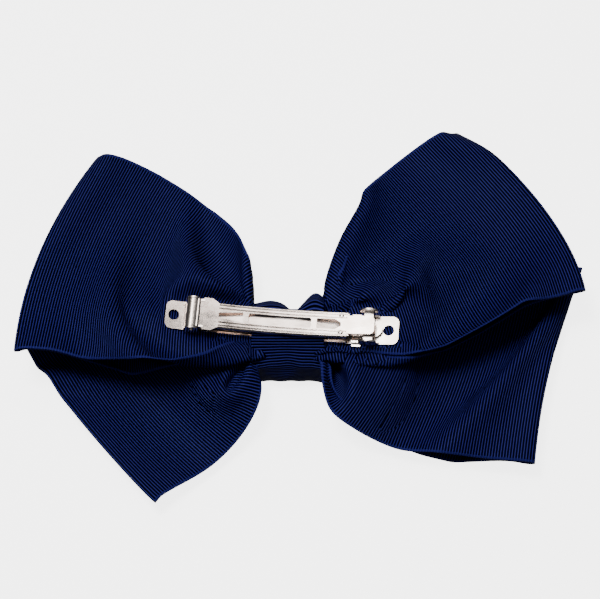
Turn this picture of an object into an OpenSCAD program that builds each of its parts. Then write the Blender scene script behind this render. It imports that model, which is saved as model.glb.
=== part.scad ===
// Cheer hair bow: two looped strips of wide grosgrain ribbon gathered at the
// middle, bound with thread, and wrapped onto a sprung metal clip barrette.
// The bow lies on its front, with the barrette uppermost. X runs along the
// loops, Y runs up the bow, and Z rises from the front of the knot to the clip.
// The origin is the middle of the flat front of the knot. Millimetres.

/* [Ribbon] */
// Width of the loop ribbon, selvage to selvage
ribbon_w = 76; // [60:1:92]
// Thickness of the loop ribbon where it lies flat
ribbon_t = 0.5; // [0.4:0.05:0.6]
// Width that each strip is gathered to under the thread
pinch_w = 20.4; // [17:0.2:24.6]
// Thickness of one gathered strip under the thread
gather_t = 3; // [2.4:0.1:3.6]
// Gap between neighbouring gathered strips
gather_gap = 0.3; // [0.2:0.05:0.6]

/* [Upper loops] */
// Distance from the middle of the knot to the middle of the left fold
upper_left_reach = 87; // [72:1:105]
// How far the left loop points above the X axis, degrees
upper_left_angle = 20.7; // [10:0.1:30]
// How far the left fold leans out at its top from square to its loop, degrees
upper_left_skew = -1; // [-10:0.5:10]
// Distance from the middle of the knot to the middle of the right fold
upper_right_reach = 94; // [78:1:113]
// How far the right loop points above the X axis, degrees
upper_right_angle = 28.7; // [15:0.1:35]
// How far the right fold leans out at its top from square to its loop, degrees
upper_right_skew = -5; // [-12:0.5:10]
// Height of both folds at their upper corners
upper_fold_top_z = 8.5; // [8:0.5:12]
// Height of both folds at their lower corners
upper_fold_low_z = 20.5; // [19:0.5:24]
// How far each panel of the upper loops swells
upper_puff = 8.5; // [6:0.5:8.5]

/* [Lower loops] */
// Distance from the middle of the knot to the middle of the left fold
lower_left_reach = 72; // [60:1:87]
// How far the left loop points above the X axis, degrees
lower_left_angle = -23; // [-32:0.1:-12]
// How far the left fold leans out at its top from square to its loop, degrees
lower_left_skew = 17; // [0:0.5:22]
// Distance from the middle of the knot to the middle of the right fold
lower_right_reach = 95; // [79:1:114]
// How far the right loop points above the X axis, degrees
lower_right_angle = -4.8; // [-15:0.1:0]
// How far the right fold leans out at its top from square to its loop, degrees
lower_right_skew = 8; // [0:0.5:15]
// Height of both folds at their upper corners
lower_fold_top_z = 4.5; // [4:0.5:5.5]
// Height of both folds at their lower corners
lower_fold_low_z = 9.5; // [8:0.5:11]
// How far each panel of the lower loops swells
lower_puff = 4; // [3:0.5:4]

/* [Knot] */
// Width of the wrap ribbon, along the bow
wrap_w = 25.5; // [20:0.5:31]
// Thickness of the wrap ribbon
wrap_t = 0.8; // [0.5:0.05:1]
// Diameter of the binding thread
thread_d = 0.5; // [0.3:0.05:0.6]
// Number of turns of thread
thread_turns = 5; // [3:1:7]
// Distance between turns of thread
thread_pitch = 1.1; // [0.9:0.1:1.5]
// Thickness of the glue between the ribbon and the barrette
glue_t = 1; // [0.6:0.1:1.5]

/* [Barrette] */
// Length of the base plate
base_len = 80; // [72:1:96]
// Width of the base plate
base_w = 10; // [9.8:0.1:12]
// Thickness of the base plate
base_t = 0.8; // [0.6:0.05:1]
// Radius of the curve that the whole barrette follows
curve_r = 185; // [150:5:225]
// How far the barrette sits to the right of the knot
clip_x = -2; // [-3:0.5:3]
// How far the barrette sits above the middle of the knot
clip_y = 2.3; // [0:0.1:3]
// Turn of the barrette in the plane of the bow, degrees
clip_turn = -4.5; // [-6:0.5:6]
// Radius of the sewing hole at each end of the base
sew_hole_r = 1.9; // [1.3:0.05:2]
// Distance from the left end to its sewing hole
left_hole_inset = 2.8; // [2.6:0.1:3.5]
// Distance from the right end to its sewing hole
right_hole_inset = 3.4; // [3:0.1:4.2]
// Height of the folded edge along each side of the base
flange_h = 1.2; // [0.8:0.1:1.3]
// Thickness of the folded edges and the hinge ears
flange_t = 0.6; // [0.5:0.05:0.7]

/* [Hinge] */
// Distance from the left end of the base to the pin
pin_inset = 9.4; // [9.2:0.1:12]
// Height of the pin above the base
pin_h = 3.4; // [3.2:0.1:3.6]
// Radius of the pin
pin_r = 0.8; // [0.65:0.05:0.9]
// Running clearance on the radius of the pin
pin_clear = 0.05; // [0.02:0.01:0.08]
// Clearance beside parts that swing past each other
side_clear = 0.15; // [0.1:0.05:0.25]

/* [Arm] */
// Height of the top of the arm above the base
arm_h = 5.4; // [5.2:0.1:5.8]
// Thickness of the arm
arm_t = 0.6; // [0.4:0.05:0.7]
// Width of the arm at its rails
rail_w = 9; // [8.6:0.1:9.8]
// Width of the arm beside the hinge
shoulder_w = 11.4; // [11:0.1:12.4]
// Width of the slots between the rails
slot_w = 3.7; // [3:0.1:4.2]
// Width of the tongue that snaps over the catch
tongue_w = 6.35; // [6.3:0.05:6.8]
// Length of the tongue
tongue_len = 8; // [7:0.1:8.2]

/* [Tension bow] */
// Width of the bowed spring strip
spring_w = 6; // [5:0.1:6.4]
// Thickness of the bowed spring strip
spring_t = 0.4; // [0.3:0.05:0.45]
// Height of the middle of the strip above the base
spring_mid_h = 3.5; // [3.4:0.05:3.6]
// Height of the free end of the strip above the base
spring_end_h = 1.3; // [1.2:0.05:1.5]
// Room on each side of the strip where it passes between the catch legs
neck_clear = 0.33; // [0.3:0.01:0.5]

/* [Catch] */
// Distance from the right end of the base to the middle of the catch
catch_inset = 11.6; // [11.5:0.1:13.5]
// Thickness of the catch metal
catch_t = 0.4; // [0.3:0.05:0.45]
// Height of the catch legs above the base
leg_h = 3.7; // [3.4:0.1:3.9]
// Length of a finger pad along the barrette
pad_len = 6.3; // [5:0.1:7]
// Height of a finger pad
pad_tall = 4.4; // [3.6:0.1:4.8]
// Radius of the rivet that holds the catch to the base
rivet_r = 0.9; // [0.7:0.05:1]

/* [Hidden] */
$fn = 48;
eps = 0.01;
film = 0.02;                        // gap between curved faces that are riveted or glued

// Ribbon stack: the heights of the four gathered strips, front to back
ribbon_clear = 0.2;
core_z = wrap_t + thread_d + 0.3;
layer_step = gather_t + gather_gap;
function layer_z(n) = core_z + gather_t / 2 + n * layer_step;
core_top = layer_z(3) + gather_t / 2;
knot_edge_w = pinch_w + 1.6;        // the gather opens a little at each side of the wrap
open_at = 0.5;                      // share of a loop's reach where it is at full width
swell_w = 76;                       // ribbon width that the swells are given for
left = -1;
right = 1;

// Barrette heights and places, along its own length
base_z = core_top + thread_d + 0.2 + glue_t + base_t;   // top of the base at its middle
pin_x = -base_len / 2 + pin_inset;
catch_x = base_len / 2 - catch_inset;

// Height above the base's middle of a point that is h above the base at x
function curve_z(x, h = 0) = curve_r - sqrt(pow(curve_r - h, 2) - x * x);
pin_z = curve_z(pin_x) + pin_h;

// Hinge radii, from the pin outward
bore_r = pin_r + pin_clear;
knuckle_r = bore_r + spring_t;
cap_in_r = arm_h - pin_h - arm_t / 2 + side_clear;
cap_from = 50;                      // the curled end starts and stops at these angles
cap_to = 195;
ear_r = 2.6;
ear_in = base_w / 2 + 0.1;
cap_w = 2 * (ear_in - side_clear);
pin_len = 2 * (ear_in + flange_t) + 0.8;

// The arm, along the barrette
shoulder_x = pin_x + ear_r + 0.4;
over_catch_x = catch_x * (1 - arm_h / curve_r);   // the curve leans the catch inward
tongue_x = over_catch_x - 4.1;
tongue_end = tongue_x + tongue_len;
rail_x = tongue_x - 1.1;
slot_start = shoulder_x + 6;
slot_end = rail_x - 2.2;
bar_w = 1.9;
left_bar_x = slot_start + 9.2;
right_bar_x = slot_end - 9.2;
lip_h = 3;                          // where the tongue's side walls end
lip_t = 0.15;                       // how far the tongue's lips and the legs' barbs stand out

// The catch, across the barrette
wall_in = tongue_w / 2 - 0.38;      // inner face of the tongue's side walls
barb_out = wall_in - lip_t - 0.06;
leg_out = barb_out - lip_t;
leg_in = leg_out - catch_t;
spring_neck_w = 2 * (leg_in - neck_clear);
leg_len = 6.6;
stem_len = 3;
stem_x = 1.7;                       // middle of a lever's stem, from the middle of the catch
pad_y = base_w / 2 + 0.4;
pad_h = 3.9;
foot_h = catch_t + 0.05;

// ---- Ribbon loops ------------------------------------------------------

function mix(a, b, k) = a + (b - a) * k;
function unit(v) = v / norm(v);

// One loop: [side, reach, angle, skew, top z, low z, puff, back layer, front layer]
upper_left = [left, upper_left_reach, upper_left_angle, upper_left_skew,
    upper_fold_top_z, upper_fold_low_z, upper_puff, layer_z(3), layer_z(2)];
upper_right = [right, upper_right_reach, upper_right_angle, upper_right_skew,
    upper_fold_top_z, upper_fold_low_z, upper_puff, layer_z(3), layer_z(2)];
lower_left = [left, lower_left_reach, lower_left_angle, lower_left_skew,
    lower_fold_top_z, lower_fold_low_z, lower_puff, layer_z(1), layer_z(0)];
lower_right = [right, lower_right_reach, lower_right_angle, lower_right_skew,
    lower_fold_top_z, lower_fold_low_z, lower_puff, layer_z(1), layer_z(0)];

// q runs from 0 to 1 out along one panel, round the fold and back along the
// other. The left loop goes out along its back panel and the right along its front.
function out(q) = sin(180 * q);
function on_back(l, q) = l[0] == left ? q < 0.5 : q > 0.5;
function swell(l, q) =
    -l[0] * l[6] * (swell_w / ribbon_w) * sin(360 * q) * pow(out(q), 1.5);
function loop_mid(l, q) = let (d = out(q), start = l[0] * wrap_w / 2)
    [mix(start, l[0] * l[1] * cos(l[2]), d),
     l[1] * sin(l[2]) * d,
     mix(on_back(l, q) ? l[7] : l[8], (l[4] + l[5]) / 2, d) + swell(l, q)];
function half_width(d) = mix(knot_edge_w, ribbon_w, sin(90 * min(1, d / open_at))) / 2;
function loop_half(l, q) = let (d = out(q), lean = (l[2] - l[3]) * d, h = half_width(d))
    [-l[0] * h * sin(lean), h * cos(lean), (l[4] - l[5]) / 2 * d];
function cloth_t(half) = max(ribbon_t, gather_t * pow(knot_edge_w / (2 * half), 1.5));

// A station is the four corners of the strip there
function station(mid, along, half, t) = let (n = unit(cross(along, half)) * t / 2)
    [mid + half + n, mid - half + n, mid - half - n, mid + half - n];
function loop_stations(l, steps) = [for (i = [0:steps]) let (
    q = i / steps,
    step = 0.01,
    a = loop_mid(l, max(0, q - step)),
    b = loop_mid(l, min(1, q + step)),
    along = i == 0 ? [l[0], 0, 0] : i == steps ? [-l[0], 0, 0] : b - a,
    half = loop_half(l, q)
) station(loop_mid(l, q), along, half, cloth_t(norm(half)))];
function middle_station(z, along) =
    station([0, 0, z], [along, 0, 0], [0, pinch_w / 2, 0], gather_t);

module closed_band(stations) {
    n = len(stations);
    points = [for (s = stations) for (p = s) p];
    faces = [for (i = [0:n - 1]) let (j = (i + 1) % n) for (k = [0:3]) let (m = (k + 1) % 4)
        each [[4 * i + k, 4 * i + m, 4 * j + m], [4 * i + k, 4 * j + m, 4 * j + k]]];
    polyhedron(points, faces);
}

module looped_strip(left_loop, right_loop) {
    steps = 30;
    closed_band(concat(
        [middle_station(left_loop[7], left)],
        loop_stations(left_loop, steps),
        [middle_station(left_loop[8], right)],
        loop_stations(right_loop, steps)
    ));
}

module upper_loop_ribbon() {
    color("#16255c") looped_strip(upper_left, upper_right);
}

module lower_loop_ribbon() {
    color("#16255c") looped_strip(lower_left, lower_right);
}

// ---- Knot --------------------------------------------------------------

// Stands a shape drawn in Y and Z up and gives it a length along X
module along_x(length) {
    rotate([90, 0, 90]) linear_extrude(length, center = true) children();
}

// A rounded oblong in Y and Z that reaches y either side and from z0 to z1
module oblong(y, z0, z1, r, grow = 0) {
    for (sy = [-1, 1], z = [z0 + r, z1 - r]) translate([sy * (y - r), z]) circle(r + grow);
    translate([-y - grow, z0 + r]) square([2 * (y + grow), z1 - z0 - 2 * r]);
    translate([-y + r, z0 - grow]) square([2 * (y - r), z1 - z0 + 2 * grow]);
}

// The wrap's inside: round the gathered ribbon, then up and over the base's edges
module wrap_inside(grow = 0) {
    core_y = knot_edge_w / 2 + ribbon_clear;
    top_y = base_w / 2 + abs(sin(clip_turn)) * (wrap_w / 2 + abs(clip_x)) + 2 * ribbon_clear;
    top_z = base_z + curve_z(wrap_w / 2 + abs(clip_x)) + flange_h + ribbon_clear;
    hull() {
        oblong(core_y, wrap_t, core_top + thread_d + ribbon_clear, 1, grow);
        translate([clip_y, 0]) oblong(top_y, core_top, top_z, 0.6, grow);
    }
}

module center_wrap_ribbon() {
    color("#16255c") along_x(wrap_w) difference() {
        wrap_inside(wrap_t);
        wrap_inside();
    }
}

module binding_thread() {
    thread_gap = 0.05;
    y = pinch_w / 2 + 0.3;
    color("#101a40") for (i = [0:thread_turns - 1])
        translate([(i - (thread_turns - 1) / 2) * thread_pitch, 0, 0]) along_x(thread_d)
            difference() {
                oblong(y, core_z - thread_gap, core_top + thread_gap, 0.3, thread_d);
                oblong(y, core_z - thread_gap, core_top + thread_gap, 0.3);
            }
}

// ---- Barrette ----------------------------------------------------------

// Puts a barrette piece where the barrette sits, from the barrette's own frame:
// its origin is the middle of the top of the base.
module on_bow() {
    translate([clip_x, clip_y, base_z]) rotate([0, 0, clip_turn]) children();
}

// Bends a section drawn in X = height above the base and Y = across the
// barrette into an arc that runs from x0 to x1 along the barrette at height h.
module curved(x0, x1, h) {
    a0 = asin(x0 / (curve_r - h));
    a1 = asin(x1 / (curve_r - h));
    translate([0, 0, curve_r]) rotate([90, 0, 0]) rotate([0, 0, 270 + a0])
        rotate_extrude(angle = a1 - a0, $fn = 180)
            translate([curve_r, 0]) mirror([1, 0]) children();
}

// A curved plate between two heights and two distances across
module curved_plate(x0, x1, h0, h1, y0, y1) {
    curved(x0, x1, (h0 + h1) / 2) translate([h0, y0]) square([h1 - h0, y1 - y0]);
}

// A shape cut straight down through a curved plate
module cut_down() {
    translate([0, 0, -5]) linear_extrude(curve_z(base_len / 2) + 20) children();
}

// Square to the base's curve at x
module at_curve(x) {
    translate([0, 0, curve_r]) rotate([0, -asin(x / curve_r), 0])
        translate([0, 0, -curve_r]) children();
}

module across(y0, y1, r) {
    translate([0, y1, 0]) rotate([90, 0, 0]) cylinder(y1 - y0, r = r);
}

module glue_pad() {
    half = wrap_w / 2 - 2;
    color("#d8d4c8") on_bow()
        curved_plate(-half, half, -base_t - glue_t, -base_t - film,
            -base_w / 2 + 0.5, base_w / 2 - 0.5);
}

// The base seen from above: a round-nosed strip with a lug for each hinge ear
// and a small tab beside the catch
module base_outline() {
    corner = 2.2;
    lug_r = ear_r - 0.1;
    square([base_len - 2 * corner, base_w], center = true);
    square([base_len, base_w - 2 * corner], center = true);
    for (sx = [-1, 1], sy = [-1, 1])
        translate([sx * (base_len / 2 - corner), sy * (base_w / 2 - corner)]) circle(corner);
    translate([pin_x - lug_r, -ear_in - flange_t]) square([2 * lug_r, 2 * (ear_in + flange_t)]);
    translate([catch_x - 4, -base_w / 2 - 1]) square([2.8, 2]);
}

module ear() {
    rotate([90, 0, 0]) linear_extrude(flange_t) difference() {
        union() {
            translate([pin_x, pin_z]) circle(ear_r);
            translate([pin_x - ear_r, pin_z - pin_h - base_t / 2])
                square([2 * ear_r, pin_h + base_t / 2]);
        }
        translate([pin_x, pin_z]) circle(pin_r);
    }
}

module barrette_base() {
    edge = base_w / 2;
    color("#d6cfc8") on_bow() difference() {
        union() {
            intersection() {
                curved_plate(-base_len, base_len, -base_t, 0, -base_w, base_w);
                cut_down() base_outline();
            }
            for (s = [0, 1]) mirror([0, s, 0]) {
                curved_plate(pin_x + ear_r + 0.3, rail_x, -base_t / 2, flange_h,
                    edge - flange_t, edge);
                curved_plate(catch_x - 4.2, catch_x + 5, -base_t / 2, flange_h + 0.3,
                    edge - flange_t, edge);
                translate([0, ear_in + flange_t, 0]) ear();
            }
        }
        for (x = [-base_len / 2 + left_hole_inset, base_len / 2 - right_hole_inset])
            at_curve(x) translate([0, 0, -3]) cylinder(6, r = sew_hole_r);
        at_curve(catch_x) translate([0, 0, -3]) cylinder(6, r = rivet_r);
    }
}

module hinge_pin() {
    color("#dcd6d0") on_bow() translate([pin_x, 0, pin_z])
        rotate([90, 0, 0]) cylinder(pin_len, r = pin_r, center = true);
}

// The arm's rails in section: folded sides and a flat top with two grooves on each rail
module rail_section() {
    top = arm_h;
    under = arm_h - arm_t;
    skirt = arm_h - 1.6;
    half = rail_w / 2;
    soft = 0.4;
    grooves = [rail_w / 2 - 0.85, slot_w / 2 + 0.65];
    groove_w = 0.3;
    groove_d = arm_t / 2;
    edge = concat([[skirt, half], [top - soft, half], [top, half - soft]],
        [for (y = grooves) each [[top, y + groove_w], [top - groove_d, y + 0.05],
                                 [top - groove_d, y - 0.05], [top, y - groove_w]]]);
    inner = [[under, half - arm_t + 0.1], [skirt, half - arm_t + 0.1]];
    polygon(concat(
        edge,
        [for (i = [len(edge) - 1:-1:0]) [edge[i][0], -edge[i][1]]],
        [for (i = [1, 0]) [inner[i][0], -inner[i][1]]],
        inner
    ));
}

// The slots between the rails, seen from above: two that taper and a long one
module slots() {
    half = slot_w / 2;
    round_r = 0.8;
    blunt = 0.9;
    polygon([[slot_start, blunt], [slot_start, -blunt],
             [left_bar_x - bar_w / 2, -half], [left_bar_x - bar_w / 2, half]]);
    hull() for (x = [left_bar_x + bar_w / 2 + round_r, right_bar_x - bar_w / 2 - round_r],
                y = [-1, 1])
        translate([x, y * (half - round_r)]) circle(round_r, $fn = 32);
    polygon([[right_bar_x + bar_w / 2, -half], [slot_end - 2, -half], [slot_end, -0.6],
             [slot_end, 0.6], [slot_end - 2, half], [right_bar_x + bar_w / 2, half]]);
}

// The wide plate beside the hinge, seen from above; its end sits inside the rails
module shoulder_outline() {
    wide = shoulder_w / 2;
    narrow = rail_w / 2 - 0.3;
    corner = 0.8;
    flat_end = shoulder_x + 3.6;
    polygon([[shoulder_x, -wide + corner], [shoulder_x + corner, -wide], [flat_end, -wide],
             [slot_start, -narrow], [slot_start, narrow], [flat_end, wide],
             [shoulder_x + corner, wide], [shoulder_x, wide - corner]]);
}

// The arm's curled end: a part tube over the pin, closed by two drilled cheeks, with
// a bead pressed across the arm beside it
module arm_cap() {
    bead_r = 0.8;
    bead_x = pin_x + cap_in_r;
    translate([bead_x, 0, curve_z(bead_x, arm_h) - bead_r / 2])
        across(-cap_w / 2, cap_w / 2, bead_r);
    translate([pin_x, 0, pin_z]) {
        rotate([90, 0, 0]) rotate([0, 0, cap_from])
            rotate_extrude(angle = cap_to - cap_from)
                translate([cap_in_r, -cap_w / 2]) square([arm_t, cap_w]);
        for (s = [0, 1]) mirror([0, s, 0]) difference() {
            union() {
                across(cap_w / 2 - arm_t, cap_w / 2, cap_in_r + arm_t / 2);
                translate([0, cap_w / 2 - arm_t, 0])
                    cube([shoulder_x - pin_x + 1, arm_t, arm_h - pin_h - arm_t / 2]);
            }
            across(cap_w / 2 - arm_t - 1, cap_w / 2 + 1, bore_r);
        }
    }
}

// The tongue: a plate with a rounded, turned-down nose, and side walls with lips
// that snap past the catch's barbs
module tongue() {
    under = arm_h - arm_t;
    inside_top = arm_h - arm_t / 2;
    half = tongue_w / 2;
    nose_r = 1.6;
    wall_end = over_catch_x + stem_x - stem_len / 2 - 0.4;
    intersection() {
        union() {
            curved_plate(tongue_x - 3, tongue_end + 1, under, arm_h, -half - 1, half + 1);
            curved_plate(tongue_end - arm_t, tongue_end + 1, under - 1, inside_top,
                -half - 1, half + 1);
        }
        cut_down() {
            for (s = [-1, 1]) translate([tongue_end - nose_r, s * (half - nose_r)])
                circle(nose_r);
            translate([tongue_x - 1.3, -half]) square([tongue_len + 1.3 - nose_r, tongue_w]);
            translate([tongue_x, nose_r - half]) square([tongue_len, tongue_w - 2 * nose_r]);
        }
    }
    for (s = [0, 1]) mirror([0, s, 0]) curved(tongue_x, wall_end, arm_h)
        polygon([[inside_top, wall_in], [lip_h + 0.35, wall_in], [lip_h + 0.2, wall_in - lip_t],
                 [lip_h, wall_in - lip_t], [lip_h, half - 0.05], [inside_top, half - 0.05]]);
}

module clasp_arm() {
    under = arm_h - arm_t;
    dimple_r = 1.4;
    color("#e2dad2") on_bow() {
        arm_cap();
        difference() {
            union() {
                curved(slot_start - 0.5, rail_x, arm_h) rail_section();
                intersection() {
                    curved_plate(pin_x + cap_in_r * cos(cap_from), slot_start + 1, under, arm_h,
                        -shoulder_w / 2, shoulder_w / 2);
                    cut_down() union() {
                        shoulder_outline();
                        translate([pin_x, -cap_w / 2]) square([shoulder_x - pin_x + 1, cap_w]);
                    }
                }
                curved_plate(rail_x - 1, tongue_x - 0.6, under - 0.3, arm_h - 0.3,
                    -rail_w / 2 + arm_t, rail_w / 2 - arm_t);
            }
            cut_down() slots();
            for (s = [-1, 1]) at_curve(slot_end + 0.6)
                translate([0, s * rail_w / 3, arm_h + dimple_r - 0.35])
                    rotate([90, 0, 0]) sphere(dimple_r);
        }
        tongue();
    }
}

// Height of the middle of the spring strip at x along the barrette
function ease(k) = let (c = max(0, min(1, k))) c * c * (3 - 2 * c);
spring_start_h = pin_h - knuckle_r + spring_t / 2;
function spring_h(x) = x < 0
    ? mix(spring_mid_h, spring_start_h, pow(x / pin_x, 2))
    : mix(spring_mid_h, spring_end_h, ease((x - 4) / (catch_x + 1)));

module spring_outline() {
    neck_start = catch_x - leg_len / 2 - 2;
    neck_end = catch_x + leg_len / 2 + 0.4;
    head_r = spring_w / 2 - 0.2;
    head_x = base_len / 2 - 8.4;
    translate([pin_x, -spring_w / 2]) square([neck_start - pin_x, spring_w]);
    polygon([[neck_start - eps, -spring_w / 2], [neck_start + 1.2, -spring_neck_w / 2],
             [neck_start + 1.2, spring_neck_w / 2], [neck_start - eps, spring_w / 2]]);
    translate([neck_start + 1, -spring_neck_w / 2])
        square([neck_end - neck_start, spring_neck_w]);
    intersection() {
        translate([head_x, 0]) circle(head_r);
        translate([neck_end, -head_r]) square([head_r * 2, head_r * 2]);
    }
}

module tension_bow() {
    stations = 36;
    spring_end = base_len / 2 - 4;
    function at(i) = mix(pin_x, spring_end, i / stations);
    function strip_z(x, off) = curve_z(x, spring_h(x) + off);
    color("#c9c2ba") on_bow() difference() {
        union() {
            intersection() {
                rotate([90, 0, 0]) linear_extrude(spring_w + 2, center = true) polygon(concat(
                    [for (i = [0:stations]) [at(i), strip_z(at(i), spring_t / 2)]],
                    [for (i = [stations:-1:0]) [at(i), strip_z(at(i), -spring_t / 2)]]));
                cut_down() spring_outline();
            }
            translate([pin_x, 0, pin_z]) across(-spring_w / 2, spring_w / 2, knuckle_r);
        }
        translate([pin_x, 0, pin_z]) across(-spring_w, spring_w, bore_r);
    }
}

module catch_spring() {
    half_len = leg_len / 2 + 1;
    color("#cfc8c0") on_bow() difference() {
        curved_plate(catch_x - half_len, catch_x + half_len, film, catch_t,
            -leg_out - 0.3, leg_out + 0.3);
        at_curve(catch_x) translate([0, 0, -3]) cylinder(6, r = rivet_r);
    }
}

module catch_rivet() {
    head_h = 0.3;
    color("#bdb6ae") on_bow() at_curve(catch_x) {
        translate([0, 0, -base_t]) cylinder(base_t + catch_t, r = rivet_r);
        translate([0, 0, catch_t + 0.03]) cylinder(head_h, r1 = 1.5, r2 = 1);
        translate([0, 0, -base_t - head_h - 0.03]) cylinder(head_h, r1 = 1, r2 = 1.5);
        cylinder(catch_t + 0.1, r = rivet_r);
        translate([0, 0, -base_t - 0.1]) cylinder(0.2, r = rivet_r);
    }
}

// One leg of the catch: its foot, a barb near the top, and a stem out to the pad
module release_lever() {
    stem_h = leg_h - 0.7;
    on_bow() at_curve(catch_x) {
        translate([-leg_len / 2, leg_in, foot_h]) cube([leg_len, catch_t, leg_h - foot_h]);
        translate([-leg_len / 2 + 0.8, leg_out - eps, leg_h - 0.35])
            cube([2.2, barb_out - leg_out + eps, 0.3]);
        translate([stem_x - stem_len / 2, leg_in, stem_h])
            cube([stem_len, pad_y - leg_in + 0.1, catch_t]);
        difference() {
            translate([stem_x, pad_y, pad_h]) scale([pad_len / pad_tall, 1, 1])
                across(0, 0.5, pad_tall / 2);
            // The pad is dished for a fingertip
            translate([stem_x, pad_y + 9.75, pad_h]) sphere(9.5, $fn = 96);
        }
    }
}

module release_lever_upper() {
    color("#d8d0c8") release_lever();
}

module release_lever_lower() {
    color("#d8d0c8") translate([clip_x, clip_y, 0]) rotate([0, 0, clip_turn]) mirror([0, 1, 0])
        rotate([0, 0, -clip_turn]) translate([-clip_x, -clip_y, 0]) release_lever();
}

upper_loop_ribbon();
lower_loop_ribbon();
center_wrap_ribbon();
binding_thread();
glue_pad();
barrette_base();
hinge_pin();
clasp_arm();
tension_bow();
catch_spring();
catch_rivet();
release_lever_upper();
release_lever_lower();
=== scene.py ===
import math

import bpy
import numpy as np
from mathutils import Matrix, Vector


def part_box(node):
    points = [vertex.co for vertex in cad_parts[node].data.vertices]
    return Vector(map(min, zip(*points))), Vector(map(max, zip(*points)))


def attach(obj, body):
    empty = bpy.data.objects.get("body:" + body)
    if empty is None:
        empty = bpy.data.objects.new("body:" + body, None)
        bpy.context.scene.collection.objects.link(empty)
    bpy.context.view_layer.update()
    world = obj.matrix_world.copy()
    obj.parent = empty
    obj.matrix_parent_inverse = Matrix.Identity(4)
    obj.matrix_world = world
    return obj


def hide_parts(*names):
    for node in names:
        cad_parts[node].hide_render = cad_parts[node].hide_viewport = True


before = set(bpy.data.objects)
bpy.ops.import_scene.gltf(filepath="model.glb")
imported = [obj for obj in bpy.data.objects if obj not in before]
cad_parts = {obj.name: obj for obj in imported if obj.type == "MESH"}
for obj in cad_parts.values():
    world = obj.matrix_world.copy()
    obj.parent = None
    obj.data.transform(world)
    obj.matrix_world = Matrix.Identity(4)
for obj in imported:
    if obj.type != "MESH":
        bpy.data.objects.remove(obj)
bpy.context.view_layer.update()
MM = 0.001

# Camera: a long lens above the bow, which lies face down, tipped towards the
# bottom of the bow so that the lower edges of the loops and the clip's near
# side show.
camera_data = bpy.data.cameras.new("camera")
camera = bpy.data.objects.new("camera", camera_data)
bpy.context.scene.collection.objects.link(camera)
bpy.context.scene.camera = camera
camera_data.lens = 100
camera_data.sensor_width = 36
camera_elevation = math.radians(70)
camera_distance = 0.585
camera_target = Vector((0.0042, 0.0146, 0.010))
camera_back = Vector((0, -math.cos(camera_elevation), math.sin(camera_elevation)))
camera.location = camera_target + camera_distance * camera_back
camera.rotation_euler = (math.pi / 2 - camera_elevation, 0, 0)
camera_data.clip_start = 0.01

# Grosgrain loops: two strips of 76 mm ribbed polyester ribbon. Each strip is
# laid in two loops, gathered with all four layers in the same accordion
# pleats, and tied at the middle. All lengths in this section are millimetres.
ribbon_w = 76.0
ribbon_t = 0.45
rib_pitch = 0.95
knot_half = 12.75
knot_grip = 3.0          # the pleats are held from here out
half_strip = ribbon_w / 2
cast = np.linalg.norm


def pleat_section(v, height):
    """Y and Z of the gathered ribbon at distance v across it: an accordion of two
    ridges and a valley, which keeps the ribbon's own length across."""
    turn = 2.02
    s = np.linspace(-half_strip, half_strip, 801)
    slope = turn * np.sin(2 * math.pi * s / half_strip)
    step = s[1] - s[0]
    y = np.cumsum(np.cos(slope)) * step
    z = -np.cumsum(np.sin(slope)) * step
    y -= (y[0] + y[-1]) / 2
    z = (z - z.min()) / (z.max() - z.min())
    return np.interp(v, s, y), np.interp(v, s, z) * height


def pull_edges(p, flat, w, axis, step):
    """Brings neighbours on the grid back to their distance in the flat ribbon."""
    for start in range(2):
        if axis == "length":
            a, b = np.s_[start:-1:2, :], np.s_[start + 1::2, :]
        elif axis == "width":
            a, b = np.s_[:, start:-1:2], np.s_[:, start + 1::2]
        elif axis == "falling":
            a, b = np.s_[start:-1:2, :-1], np.s_[start + 1::2, 1:]
        else:
            a, b = np.s_[start:-1:2, 1:], np.s_[start + 1::2, :-1]
        rest = cast(flat[b] - flat[a], axis=2, keepdims=True)
        gap = p[b] - p[a]
        length = cast(gap, axis=2, keepdims=True)
        move = step * (length - rest) / (length * np.maximum(w[a] + w[b], 1e-9)) * gap
        p[a] += w[a] * move
        p[b] -= w[b] * move


def smooth_bends(p, w, along, across):
    """Resists bending along the strip a little, and across it, where the ribs run, a lot."""
    d = along * (p[:-2] - 2 * p[1:-1] + p[2:])
    p[1:-1] += w[1:-1] * d
    p[:-2] -= w[:-2] * d / 2
    p[2:] -= w[2:] * d / 2
    d = across * (p[:, :-2] - 2 * p[:, 1:-1] + p[:, 2:])
    p[:, 1:-1] += w[:, 1:-1] * d
    p[:, :-2] -= w[:, :-2] * d / 2
    p[:, 2:] -= w[:, 2:] * d / 2


def surface_normals(p):
    along = np.gradient(p, axis=0)
    across = np.gradient(p, axis=1)
    n = np.cross(along, across)
    return n / np.maximum(cast(n, axis=2, keepdims=True), 1e-9)


def resample(p, rows, cols):
    """The same surface on a finer grid, by a smooth curve through each row and column."""
    for axis, count in ((0, rows), (1, cols)):
        old = np.arange(p.shape[axis], dtype=float)
        new = np.linspace(0, old[-1], count)
        i = np.clip(new.astype(int), 0, len(old) - 2)
        t = (new - i).reshape((-1, 1, 1) if axis == 0 else (1, -1, 1))
        q = np.moveaxis(p, axis, 0)
        q = np.concatenate([2 * q[:1] - q[1:2], q, 2 * q[-1:] - q[-2:-1]])
        t = t.reshape(-1, 1, 1)
        a, b, c, d = q[i], q[i + 1], q[i + 2], q[i + 3]
        q = 0.5 * (2 * b + (c - a) * t + (2 * a - 5 * b + 4 * c - d) * t**2
                   + (3 * b - a - 3 * c + d) * t**3)
        p = np.moveaxis(q, 0, axis)
    return p


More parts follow.
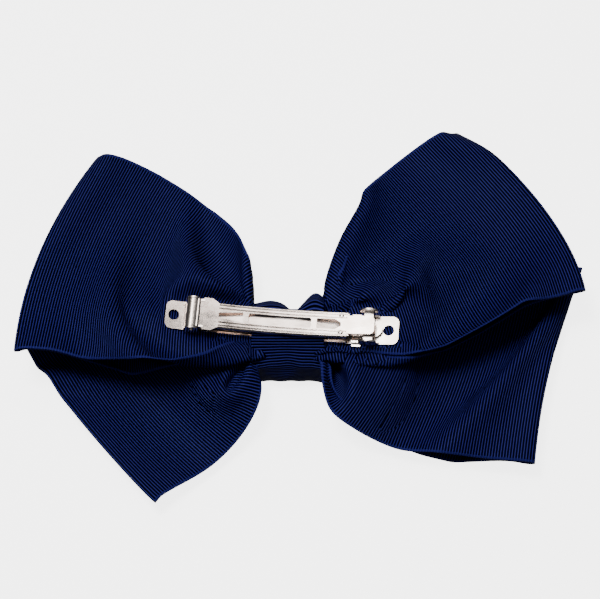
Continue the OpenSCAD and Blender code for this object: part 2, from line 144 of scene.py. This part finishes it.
class Heights:
    """The top of some sheets over a plan grid, to keep another sheet clear of them."""

    def __init__(self, sheets, cell=2.0):
        self.low, self.cell = np.array([-130.0, -100.0]), cell
        shape = (int(260 / cell), int(220 / cell))
        self.z = np.zeros(shape)
        for p in sheets:
            fine = resample(p, p.shape[0] * 2, p.shape[1] * 2).reshape(-1, 3)
            i, j = self.cells(fine)
            np.maximum.at(self.z, (i, j), fine[:, 2])
        # Spread out and smoothed, so that the cloth on top runs off an edge gently
        for reduce in (np.maximum.reduce,) * 3 + (lambda stack: stack.mean(axis=0),) * 5:
            self.z = reduce(np.stack([np.roll(self.z, (a, b), (0, 1))
                                      for a in (-1, 0, 1) for b in (-1, 0, 1)]))

    def cells(self, points):
        ij = ((points[..., :2] - self.low) / self.cell).astype(int)
        return (np.clip(ij[..., 0], 0, self.z.shape[0] - 1),
                np.clip(ij[..., 1], 0, self.z.shape[1] - 1))

    def at(self, points):
        i, j = self.cells(points)
        return self.z[i, j]


def flat_pattern(rows, cols, lengths):
    """The loop unrolled: distance past the fold and across, from the back panel's held
    end to the front's. The ribbon enters the knot aslant, so one selvage is longer."""
    v = np.linspace(-half_strip, half_strip, cols)[None, :]
    reach = lengths[0] + (lengths[1] - lengths[0]) * (v / ribbon_w + 0.5)
    u = np.linspace(-1, 1, rows)[:, None] * reach
    return np.stack(np.broadcast_arrays(u, v), axis=2), reach


def lay_loop(side, fold_top, fold_low, lengths, layers, shift, relief, puff, bulge,
             top_edge, low_edge, front_low_edge=None, under=None):
    """One loop of ribbon, from inside the knot out along its back panel, round its
    fold and back along its front panel, relaxed as inextensible ribbed cloth."""
    fold_top, fold_low = np.array(fold_top, float), np.array(fold_low, float)
    fold_mid, fold_half = (fold_top + fold_low) / 2, (fold_top - fold_low) / 2
    outward = np.array([abs(fold_half[1]), -side * fold_half[0], 0]) * side
    outward /= cast(outward)
    held = 4.5               # the thread and the pleats grip the ribbon this far

    def clamp(flat, reach):
        """Where the pleats hold the ribbon, and how firmly."""
        from_end = reach - np.abs(flat[..., 0])
        y, z = pleat_section(flat[..., 1], pleat_height)
        layer = np.where(flat[..., 0] < 0, layers[0], layers[1])
        x = side * (knot_grip + from_end)
        return np.stack([x, y + shift, pleat_floor + z + layer], axis=2), from_end

    rows, cols = 2 * int(max(lengths) / 5) + 1, 15
    flat, reach = flat_pattern(rows, cols, lengths)
    pos, from_end = clamp(flat, reach)
    d = np.clip((from_end - held) / (reach - held), 0, 1)[..., None]
    open_ = np.sin(np.clip(d / 0.5, 0, 1) * math.pi / 2)
    across = np.array([0, 1, 0]) * (1 - d) + fold_half / half_strip * d
    across /= cast(across, axis=2, keepdims=True)
    spread = (side * np.array([knot_half, 0, 0]) * (1 - d) + fold_mid * d
              + across * flat[..., 1:] * (0.3 + 0.7 * open_))
    spread[..., 2] = (fold_mid[2] + fold_half[2] * flat[..., 1] / half_strip
                      + puff * np.sign(flat[..., 0]) * -1 * -np.sin(np.pi * d[..., 0] ** 0.8))
    k = np.clip(d / 0.55, 0, 1)
    p = pos + (spread - pos) * (k * k * (3 - 2 * k))
    for level, sweeps in enumerate((700, 500, 350)):
        if level:
            rows, cols = 2 * rows - 1, 2 * cols - 1
            p = resample(p, rows, cols)
            flat, reach = flat_pattern(rows, cols, lengths)
            pos, from_end = clamp(flat, reach)
        is_held = from_end <= held
        free = ~is_held
        w = np.where(is_held, 0.0, 1.0)[..., None]
        mid = (rows - 1) // 2
        v = np.linspace(-1, 1, cols)
        fold = fold_mid + v[:, None] * fold_half + bulge * (1 - v[:, None] ** 2) * outward
        edges = []
        for column, points, rows_there in (
                (cols - 1, top_edge, flat[:, 0, 0] < 1e9), (0, low_edge, flat[:, 0, 0] > 0),
                (0, front_low_edge or low_edge, flat[:, 0, 0] < 0)):
            points = np.array(points, dtype=float)
            run = np.concatenate([[0], np.cumsum(cast(np.diff(points, axis=0), axis=1))])
            outside = knot_half - knot_grip
            k = np.clip((from_end[:, column] - outside) / (reach[0, column] - outside), 0, 1)
            line = np.stack([np.interp(k * run[-1], run, points[:, 0]),
                             np.interp(k * run[-1], run, points[:, 1])], 1)
            firm = np.where((from_end[:, column] > knot_half) & rows_there, edge_pull, 0)
            edges.append((column, line, firm[:, None]))
        shapes = []
        for at, middle, long, wide, target, pull in relief:
            amount = pull * w[..., 0] * np.exp(-((from_end / reach - at) / long) ** 2
                                               - ((flat[..., 1] - middle) / wide) ** 2)
            amount[:mid] = 0
            shapes.append((amount, target))
        for sweep in range(sweeps):
            p[is_held] = pos[is_held]
            p += w * puff_force * (1 - sweep / sweeps) * surface_normals(p) * -side
            for amount, target in shapes:
                gap = target[1] - p[..., 2]
                p[..., 2] += amount * (np.maximum(gap, 0) if target[0] == "up"
                                       else np.minimum(gap, 0))
            for _ in range(1 + level):
                smooth_bends(p, w, bend_along, bend_across)
            for column, line, firm in edges:
                p[:, column, :2] += firm * (line - p[:, column, :2])
            x_out = side * p[..., 0]
            beside = ((x_out < knot_half + 0.3) & (from_end > knot_half)
                      & (np.abs(p[..., 1]) < 12.4))
            p[..., 0] = np.where(beside, side * (knot_half + 0.3), p[..., 0])
            in_knot = (x_out < knot_half) & free & (from_end < knot_half)
            p[..., 1] = np.where(in_knot, np.clip(p[..., 1], -knot_wide, knot_wide), p[..., 1])
            p[..., 2] = np.where(in_knot, np.minimum(p[..., 2], clip_under), p[..., 2])
            p[mid, :, :2] += 0.5 * (fold - p[mid])[:, :2]
            p[mid, :, 2] += 0.1 * (fold - p[mid])[:, 2]
            for _ in range(3):
                pull_edges(p, flat, w, "length", 1.0)
                pull_edges(p, flat, w, "width", 1.0)
                pull_edges(p, flat, w, "falling", 0.4)
                pull_edges(p, flat, w, "rising", 0.4)
            p[..., 2] = np.maximum(p[..., 2], 0.4)
            # The back panel stays behind the front one, and both below the clip
            gap = np.clip(1.2 - (p[:mid, :, 2] - p[:mid:-1, :, 2]), 0, 2) * w[:mid, :, 0]
            p[:mid, :, 2] += gap / 2
            p[:mid:-1, :, 2] -= gap / 2
            along_clip = p[..., 0] - clip_mid[0]
            off_clip = np.abs(p[..., 1] - clip_mid[1] + clip_slant * along_clip)
            near = (np.abs(along_clip) < 42) & (
                off_clip < np.where(np.abs(along_clip - catch_x) < catch_reach, 10, 7.5))
            ceiling = clip_under + along_clip ** 2 / clip_curve
            p[..., 2] = np.where(near & (p[..., 2] > ceiling) & free, ceiling, p[..., 2])
            if under is not None:
                over = under.at(p) + np.where(flat[..., 0] > 0, 0.8, 1.9)
                over = np.where(near, np.minimum(over, ceiling - 0.1), over)
                lift = (p[..., 2] < over) & free
                p[..., 2] = np.where(lift, p[..., 2] + 0.3 * (over - p[..., 2]), p[..., 2])
    return np.concatenate([p, flat], axis=2)


base_low, base_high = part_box("barrette_base")
clip_mid = np.array([(base_low.x + base_high.x) / 2, (base_low.y + base_high.y) / 2]) / MM
clip_under = base_low.z / MM - 0.6
clip_slant = math.tan(math.radians(4.5))
catch_x, catch_reach = 28.4, 6        # the finger pads stand out past the base here
clip_curve = 370                      # twice the radius that the barrette follows
pleat_floor, pleat_height = 1.2, 11.8
knot_wide = 9.3
puff_force = 0.02
edge_pull = 0.16
bend_along, bend_across = 0.06, 0.12

# The pleats run out into a hump beside the knot with a valley above it, and the panel
# sinks before it rises to the fold. Each: share of the way out, place across, length and
# width of the shape, the height it tends to, and how firmly
upper_relief = [(0.30, -6, 0.14, 13, ("up", 18), 0.10), (0.33, 19, 0.11, 8, ("down", 5), 0.14),
                (0.62, 6, 0.15, 24, ("down", 9), 0.06)]
lower_relief = [(0.36, -14, 0.14, 13, ("up", 15), 0.10), (0.62, -6, 0.13, 24, ("down", 2.5), 0.10)]
# Each loop: its fold's two corners, the ribbon's length from knot to fold at the lower
# and the upper selvage, and where the two selvages run in plan
lower_left = lay_loop(-1, (-91.8, -2.7, 8), (-43.3, -60.2, 10), (71, 90), (0.7, 0.1), -1.2,
                      lower_relief, 6, 11, [(-14, 2), (-40, 5), (-91, -2)],
                      [(-14, -11), (-14.7, -25), (-18.6, -33), (-31.2, -47.9), (-43, -59.2)],
                      [(-9.5, -12), (-8.5, -24), (-16, -36), (-24, -45.5), (-43, -59.2)])
lower_right = lay_loop(1, (105.3, 28.8, 7), (83.6, -44.8, 11), (98.5, 111.4), (0.7, 0.1), -1.2,
                       lower_relief, 6, -3, [(14, 4), (45, 22), (106, 29)],
                       [(14, -11), (16, -21), (28.7, -35), (46, -41), (67, -43.5), (84, -45)],
                       [(9.5, -12), (14.5, -30), (25, -36.5), (39, -40), (66, -43), (84, -45)])
lower_tops = Heights([lower_left[: len(lower_left) // 2, :, :3],
                      lower_right[: len(lower_right) // 2, :, :3]])
upper_left = lay_loop(-1, (-68.5, 68.5, 12), (-92.5, -9, 23), (99, 100), (1.9, 1.3), 1.2,
                      upper_relief, 8, 8,
                      [(-12, 14), (-13, 23), (-15, 33), (-19, 42.5), (-30.5, 52),
                       (-45, 65), (-58, 72.5), (-68.5, 68.5)],
                      [(-13.3, 0.5), (-18.6, -4.4), (-27, -10.7), (-38, -14), (-52, -14),
                       (-66, -11.2), (-80, -9), (-92.5, -8)], under=lower_tops)
upper_right = lay_loop(1, (61.3, 78, 12), (102.3, 12.5, 24), (108, 102), (1.9, 1.3), 1.2,
                       upper_relief, 8, 9,
                       [(14.5, 13), (19.5, 25), (23.5, 39), (27.5, 54), (37, 68.5), (48, 76.5),
                        (61.3, 78)],
                       [(14, 0.5), (25, -5), (32, -9), (43, -9.5), (53, -7), (67, 0.2),
                        (81, 7.7), (95, 11.2), (102.3, 12.5)], under=lower_tops)


def ribbon_mesh(name, grid, flat, joints=()):
    """A closed ring of ribbon with its place in the flat ribbon as UVs, in millimetres.
    Joints are the rows after which the pattern starts afresh, out of sight in the knot."""
    rows, cols = grid.shape[:2]
    i, j = np.meshgrid(np.arange(rows), np.arange(cols - 1), indexing="ij")
    n = (i + 1) % rows
    quads = np.stack([i * cols + j, i * cols + j + 1, n * cols + j + 1, n * cols + j], -1)
    mesh = bpy.data.meshes.new(name)
    mesh.from_pydata((grid.reshape(-1, 3) * MM).tolist(), [], quads.reshape(-1, 4).tolist())
    place = np.stack([flat[i, j], flat[i, j + 1], flat[n, j + 1], flat[n, j]], 2)
    for row in joints:
        place[row, :, 2:, 0] = place[row, :, 1::-1, 0] + 2 * knot_grip
    mesh.uv_layers.new(name="ribbon").data.foreach_set("uv", place.astype(np.float32).ravel())
    mesh.polygons.foreach_set("use_smooth", [True] * len(mesh.polygons))
    piece = bpy.data.objects.new(name, mesh)
    bpy.context.scene.collection.objects.link(piece)
    thick = piece.modifiers.new("thickness", "SOLIDIFY")
    thick.thickness = ribbon_t * MM
    thick.offset = 0
    return piece


def srgb(code):
    """A hex colour as linear red, green, blue and alpha."""
    parts = [int(code[i:i + 2], 16) / 255 for i in (0, 2, 4)]
    return (*[c / 12.92 if c <= 0.04045 else ((c + 0.055) / 1.055) ** 2.4 for c in parts], 1)


def add(tree, kind, links=None, **settings):
    """Adds a node with its settings, and links its inputs."""
    node = tree.nodes.new(kind)
    for key, value in settings.items():
        setattr(node, key, value)
    for key, value in (links or {}).items():
        if hasattr(value, "is_linked"):
            tree.links.new(value, node.inputs[key])
        else:
            node.inputs[key].default_value = value
    return node


def grosgrain(name, pitch):
    """Woven polyester grosgrain: cords across the ribbon make fine ribs with a soft
    satin sheen on their crowns. The gaps between the ribs are painted near-black as shade, and the
    colour is lighter in a thin band at each selvage."""
    material = bpy.data.materials.new(name)
    material.use_nodes = True
    tree = material.node_tree
    shader = tree.nodes["Principled BSDF"]
    place = add(tree, "ShaderNodeUVMap", uv_map="ribbon")
    split = add(tree, "ShaderNodeSeparateXYZ", {"Vector": place.outputs["UV"]})
    turns = add(tree, "ShaderNodeMath", {0: split.outputs["X"], 1: 2 * math.pi / pitch},
                operation="MULTIPLY")
    wave = add(tree, "ShaderNodeMath", {0: turns.outputs[0]}, operation="SINE")
    crown = add(tree, "ShaderNodeMapRange", {"Value": wave.outputs[0], "From Min": 0.0,
                                             "From Max": 0.95})
    edge = add(tree, "ShaderNodeMath", {0: split.outputs["Y"]}, operation="ABSOLUTE")
    selvage = add(tree, "ShaderNodeMapRange", {"Value": edge.outputs[0], "From Min": 37.1,
                                               "From Max": 37.3, "To Max": 0.55})
    lit = add(tree, "ShaderNodeMath", {0: crown.outputs[0], 1: selvage.outputs[0]},
              operation="MAXIMUM")
    # Painted shade: the base colour runs from near-black in the gaps between the ribs to navy on their
    # crowns, and the specular level set below is turned down in the gaps to keep them dark too.
    colour = add(tree, "ShaderNodeMix", {"Factor": lit.outputs[0]}, data_type="RGBA")
    for key, value in (("A", srgb("000003")), ("B", srgb("22246c"))):
        socket = [s for s in colour.inputs if s.name == key and s.type == "RGBA"][0]
        socket.default_value = value
    tree.links.new([s for s in colour.outputs if s.type == "RGBA"][0],
                   shader.inputs["Base Color"])
    ribs = add(tree, "ShaderNodeBump", {"Height": crown.outputs[0], "Strength": 0.8,
                                        "Distance": 0.25 * MM})
    tree.links.new(ribs.outputs[0], shader.inputs["Normal"])
    shader.inputs["Roughness"].default_value = 0.48
    sheen = add(tree, "ShaderNodeMapRange", {"Value": crown.outputs[0], "To Min": 0.02,
                                             "To Max": 0.22})
    tree.links.new(sheen.outputs[0], shader.inputs["Specular IOR Level"])
    shader.inputs["Specular Tint"].default_value = srgb("a4b4ff")
    return material


navy_grosgrain = grosgrain("navy_grosgrain", rib_pitch)
for name, node, left, right in (
    ("upper_loops", "upper_loop_ribbon", upper_left, upper_right),
    ("lower_loops", "lower_loop_ribbon", lower_left, lower_right),
):
    halves = [resample(half, 2 * int(np.ptp(half[..., 3]) / 2.0), 65) for half in (left, right)]
    ring = np.concatenate([halves[0], halves[1][::-1]])
    strip = ribbon_mesh(name, ring[..., :3], ring[..., 3:], (len(halves[0]) - 1, len(ring) - 1))
    strip.data.materials.append(navy_grosgrain)
    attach(strip, "bow")
    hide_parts(node)

# Knot wrap: grosgrain folded to 25 mm, taken once round the gathered middle and over
# the barrette's base, and glued to itself. It is pulled into the pleats, so its upper
# side dips and humps and its edges stand a little open. It is modelled as one layer.
wrap_low, wrap_high = (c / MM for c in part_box("center_wrap_ribbon"))
wrap_around, wrap_across = 168, 41
side_y, lower_y = 11.9, 13.2
floor_z, top_z = 0.45, wrap_high.z - 0.35
outline = np.array([(-lower_y + 1.5, floor_z), (side_y - 1.5, floor_z), (side_y, 2.5),
                    (side_y, 13.2), (9.4, 16.6), (8.2, top_z), (-2.9, top_z),
                    (-5.6, 17.2), (-side_y + 0.4, 14.6), (-side_y, 12.0), (-lower_y, 2.5)])


def round_off(points, times):
    """Cuts the corners of a closed outline until it is smooth."""
    for _ in range(times):
        after = np.roll(points, -1, axis=0)
        points = np.stack([0.75 * points + 0.25 * after, 0.25 * points + 0.75 * after], 1)
        points = points.reshape(-1, 2)
    return points


def even_steps(points, count):
    """The same closed outline with its points evenly spaced."""
    closed = np.concatenate([points, points[:1]])
    run = np.concatenate([[0], np.cumsum(cast(np.diff(closed, axis=0), axis=1))])
    at = np.linspace(0, run[-1], count, endpoint=False)
    return np.stack([np.interp(at, run, closed[:, 0]), np.interp(at, run, closed[:, 1])], 1)


section = even_steps(round_off(outline, 4), wrap_around)
wrap_x = np.linspace(-wrap_high.x, wrap_high.x, wrap_across)
wrap_grid = np.zeros((wrap_around, wrap_across, 3))
for j, x in enumerate(wrap_x):
    y, z = section[:, 0], section[:, 1]
    upper_side = np.clip((y - 4) / 7, 0, 1) * np.clip((z - 1) / 8, 0, 1)
    lower_side = np.clip((-y - 4) / 7, 0, 1)
    dip = (1.4 * math.exp(-((x + 6) / 4.5) ** 2) - 2.6 * math.exp(-((x - 2) / 2.6) ** 2)
           + 4.2 * math.exp(-((x - 9.5) / 3.6) ** 2))
    ruck = 0.12 * math.sin(x * 0.9 + 1) * np.sin(z * 0.55)
    flare = 0.8 * (abs(x) / wrap_high.x) ** 6
    wrap_grid[:, j, 0] = x + 0.35 * np.sin(z * 0.5 + np.sign(x)) * abs(x) / wrap_high.x
    wrap_grid[:, j, 1] = (y + upper_side * dip + lower_side * (ruck - flare)
                          - lower_side * 0.9 * math.exp(-((x + 1) / 5) ** 2) * np.sin(z * 0.35 - 0.8))
    wrap_grid[:, j, 2] = z + 0.25 * flare * np.clip((z - 10) / 8, 0, 1)


around = np.cumsum(cast(wrap_grid - np.roll(wrap_grid, 1, axis=0), axis=2)
                   [:, wrap_across // 2])
wrap_flat = np.stack(np.broadcast_arrays(around[:, None], wrap_x[None, :]), 2)
wrap = ribbon_mesh("knot_wrap", wrap_grid, wrap_flat, (wrap_around - 1,))
wrap.data.materials.append(navy_grosgrain)
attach(wrap, "bow")
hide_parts("center_wrap_ribbon")

# Binding thread: five turns of bonded nylon thread, pulled tight round the pleats
# under the wrap. It looks dull, with a faint slanting twist.
thread_mesh = bpy.data.meshes.new("binding_thread_turns")
thread_low, thread_high = (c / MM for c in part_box("binding_thread"))
turns, per_turn, sides = 5, 96, 10
thread_r, thread_pitch, twists_per_mm = 0.25, 1.1, 0.9
points, faces = [], []
for turn in range(turns):
    centre_x = (turn - 2) * thread_pitch
    oval = even_steps(round_off(np.array([
        (thread_high.y - thread_r, thread_low.z + thread_r),
        (thread_high.y - thread_r, thread_high.z - thread_r),
        (thread_low.y + thread_r, thread_high.z - thread_r),
        (thread_low.y + thread_r, thread_low.z + thread_r)]), 4), per_turn)
    middle = oval.mean(axis=0)
    for i, (y, z) in enumerate(oval):
        out = np.array([y, z]) - middle
        out /= cast(out)
        slant = 0.25 * math.sin(2 * math.pi * i / per_turn + turn)
        for k in range(sides):
            a = 2 * math.pi * k / sides
            points.append((MM * (centre_x + slant + thread_r * math.cos(a)),
                           MM * (y + thread_r * math.sin(a) * out[0]),
                           MM * (z + thread_r * math.sin(a) * out[1])))
            base = turn * per_turn * sides
            n = (i + 1) % per_turn
            m = (k + 1) % sides
            faces.append((base + i * sides + k, base + i * sides + m,
                          base + n * sides + m, base + n * sides + k))
thread_mesh.from_pydata(points, [], faces)
thread_mesh.polygons.foreach_set("use_smooth", [True] * len(faces))
thread = bpy.data.objects.new("binding_thread_turns", thread_mesh)
bpy.context.scene.collection.objects.link(thread)
navy_thread = bpy.data.materials.new("bonded_nylon_thread")
navy_thread.use_nodes = True
shader = navy_thread.node_tree.nodes["Principled BSDF"]
twist = add(navy_thread.node_tree, "ShaderNodeTexWave",
            {"Scale": twists_per_mm / MM, "Distortion": 0.3}, bands_direction="DIAGONAL")
ply = add(navy_thread.node_tree, "ShaderNodeBump", {"Height": twist.outputs["Fac"],
                                                   "Strength": 0.6, "Distance": 0.1 * MM})
navy_thread.node_tree.links.new(ply.outputs[0], shader.inputs["Normal"])
shader.inputs["Base Color"].default_value = srgb("101a40")
shader.inputs["Roughness"].default_value = 0.6
thread.data.materials.append(navy_thread)
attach(thread, "bow")
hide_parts("binding_thread")

# Glue: a squeezed bead of hot-melt glue between the tied ribbon and the base. It
# sets milky and soft-edged.
glue_low, glue_high = (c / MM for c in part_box("glue_pad"))
glue_mesh = bpy.data.meshes.new("glue_bead")
rows, cols = 28, 20
points, faces = [], []
centre = (glue_low + glue_high) / 2
for i in range(rows):
    for j in range(cols):
        a, b = 2 * math.pi * i / rows, math.pi * (j + 0.5) / cols - math.pi / 2
        edge = 1 + 0.05 * math.sin(3 * a + 1) + 0.03 * math.sin(7 * a)
        round_x = math.copysign(abs(math.cos(a)) ** 0.6, math.cos(a)) * math.cos(b) ** 0.5
        round_y = math.copysign(abs(math.sin(a)) ** 0.6, math.sin(a)) * math.cos(b) ** 0.5
        x = round_x * edge * (glue_high.x - glue_low.x) / 2 * 0.93
        y = round_y * edge * 4.3
        bend = 0.0027 * x * x
        points.append(((centre.x + x) * MM, (centre.y - 0.0787 * x + y) * MM,
                       (glue_low.z + 0.5 + bend + 0.42 * math.sin(b)) * MM))
for i in range(rows):
    n = (i + 1) % rows
    for j in range(cols - 1):
        faces.append((i * cols + j, n * cols + j, n * cols + j + 1, i * cols + j + 1))
faces.append([i * cols for i in reversed(range(rows))])
faces.append([i * cols + cols - 1 for i in range(rows)])
glue_mesh.from_pydata(points, [], faces)
glue_mesh.polygons.foreach_set("use_smooth", [True] * len(faces))
glue = bpy.data.objects.new("glue_bead", glue_mesh)
bpy.context.scene.collection.objects.link(glue)
hot_melt = bpy.data.materials.new("hot_melt_glue")
hot_melt.use_nodes = True
shader = hot_melt.node_tree.nodes["Principled BSDF"]
shader.inputs["Base Color"].default_value = srgb("d8d4c8")
shader.inputs["Roughness"].default_value = 0.35
shader.inputs["Subsurface Weight"].default_value = 0.4
shader.inputs["Subsurface Radius"].default_value = (0.002, 0.0018, 0.0014)
glue.data.materials.append(hot_melt)
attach(glue, "bow")
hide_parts("glue_pad")

# Barrette: stamped spring steel, nickel plated and tumbled bright. Its edges are
# slightly rounded by tumbling, fine tumbling marks break up its reflections, and its
# corners and slots are darkened with painted shade in the base colour.
marks_per_mm, clouds_per_mm = 2.6, 0.18
nickel = bpy.data.materials.new("bright_nickel_plate")
nickel.use_nodes = True
tree = nickel.node_tree
shader = tree.nodes["Principled BSDF"]
place = add(tree, "ShaderNodeTexCoord")
stretch = add(tree, "ShaderNodeMapping", {"Vector": place.outputs["Object"]})
stretch.inputs["Scale"].default_value = (0.12, 1, 1)
marks = add(tree, "ShaderNodeTexNoise", {"Vector": stretch.outputs[0], "Scale": marks_per_mm / MM,
                                         "Detail": 4.0})
clouds = add(tree, "ShaderNodeTexNoise", {"Vector": place.outputs["Object"], "Scale": clouds_per_mm / MM,
                                          "Detail": 3.0})
gloss = add(tree, "ShaderNodeMapRange", {"Value": clouds.outputs["Fac"], "From Min": 0.3,
                                         "From Max": 0.7, "To Min": 0.1, "To Max": 0.24})
grain = add(tree, "ShaderNodeBump", {"Height": marks.outputs["Fac"], "Strength": 0.18,
                                     "Distance": 0.02 * MM})
swell = add(tree, "ShaderNodeBump", {"Height": clouds.outputs["Fac"], "Strength": 0.12,
                                     "Distance": 0.3 * MM, "Normal": grain.outputs[0]})
# Painted shade: ambient occlusion darkens the base colour towards near-black in corners, slots and
# grooves.
shade = add(tree, "ShaderNodeAmbientOcclusion", {"Distance": 0.7 * MM})
painted_crevice_shade = add(tree, "ShaderNodeMapRange", {"Value": shade.outputs["AO"], "From Min": 0.45,
                                        "From Max": 0.92})
tint = add(tree, "ShaderNodeMix", {"Factor": painted_crevice_shade.outputs[0]}, data_type="RGBA")
for key, value in (("A", srgb("1c1a19")), ("B", srgb("ece2dc"))):
    socket = [s for s in tint.inputs if s.name == key and s.type == "RGBA"][0]
    socket.default_value = value
tree.links.new([s for s in tint.outputs if s.type == "RGBA"][0], shader.inputs["Base Color"])
tree.links.new(gloss.outputs[0], shader.inputs["Roughness"])
tree.links.new(swell.outputs[0], shader.inputs["Normal"])
shader.inputs["Metallic"].default_value = 1
for name in ("barrette_base", "hinge_pin", "clasp_arm", "tension_bow", "catch_spring",
             "catch_rivet", "release_lever_upper", "release_lever_lower"):
    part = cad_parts[name]
    part.data.materials.clear()
    part.data.materials.append(nickel)
    edge = part.modifiers.new("tumbled edge", "BEVEL")
    edge.width = 0.07 * MM
    edge.segments = 2
    edge.limit_method = "ANGLE"
    edge.angle_limit = math.radians(35)
    edge.harden_normals = True

# Floor and light: a white light table under the bow, a large soft box beyond it for
# the metal to reflect, and darker surroundings that draw lines in the metal.
bpy.ops.mesh.primitive_plane_add(size=4, location=(0, 0, 0))
floor = bpy.context.object
floor.name = "light_table"
acrylic = bpy.data.materials.new("white_acrylic")
acrylic.use_nodes = True
shader = acrylic.node_tree.nodes["Principled BSDF"]
shader.inputs["Base Color"].default_value = (0.8, 0.8, 0.8, 1)
shader.inputs["Roughness"].default_value = 0.9
shader.inputs["Emission Color"].default_value = (1, 1, 1, 1)
shader.inputs["Emission Strength"].default_value = 4
floor.data.materials.append(acrylic)
floor.visible_diffuse = False
floor.visible_glossy = False
world = bpy.data.worlds.new("studio")
bpy.context.scene.world = world
world.use_nodes = True
tree = world.node_tree
where = add(tree, "ShaderNodeTexCoord")
height = add(tree, "ShaderNodeSeparateXYZ", {"Vector": where.outputs["Generated"]})
sky = add(tree, "ShaderNodeMapRange", {"Value": height.outputs["Z"], "From Min": 0.25,
                                        "From Max": 0.95, "To Min": 0.04, "To Max": 0.3},
           interpolation_type="SMOOTHSTEP")
table = add(tree, "ShaderNodeMapRange", {"Value": height.outputs["Z"], "From Min": 0.05,
                                         "From Max": -0.1, "To Min": 0, "To Max": 0.2})
room = add(tree, "ShaderNodeMath", {0: sky.outputs[0], 1: table.outputs[0]}, operation="ADD")
tree.links.new(room.outputs[0], tree.nodes["Background"].inputs["Color"])
for name, place, size, power, colour in (
    ("key_light", (-0.18, 0.12, 0.85), (0.2, 0.2), 7, (1, 1, 1)),
    ("soft_box", (-0.05, 0.32, 0.78), (0.9, 0.12), 1.9, (1, 0.9, 0.83)),
):
    lamp_data = bpy.data.lights.new(name, "AREA")
    lamp_data.shape = "RECTANGLE"
    lamp_data.size, lamp_data.size_y = size
    lamp_data.energy = power
    lamp_data.color = colour
    lamp = bpy.data.objects.new(name, lamp_data)
    bpy.context.scene.collection.objects.link(lamp)
    lamp.location = place
    lamp.rotation_euler = (-Vector(place)).to_track_quat("-Z", "Y").to_euler()
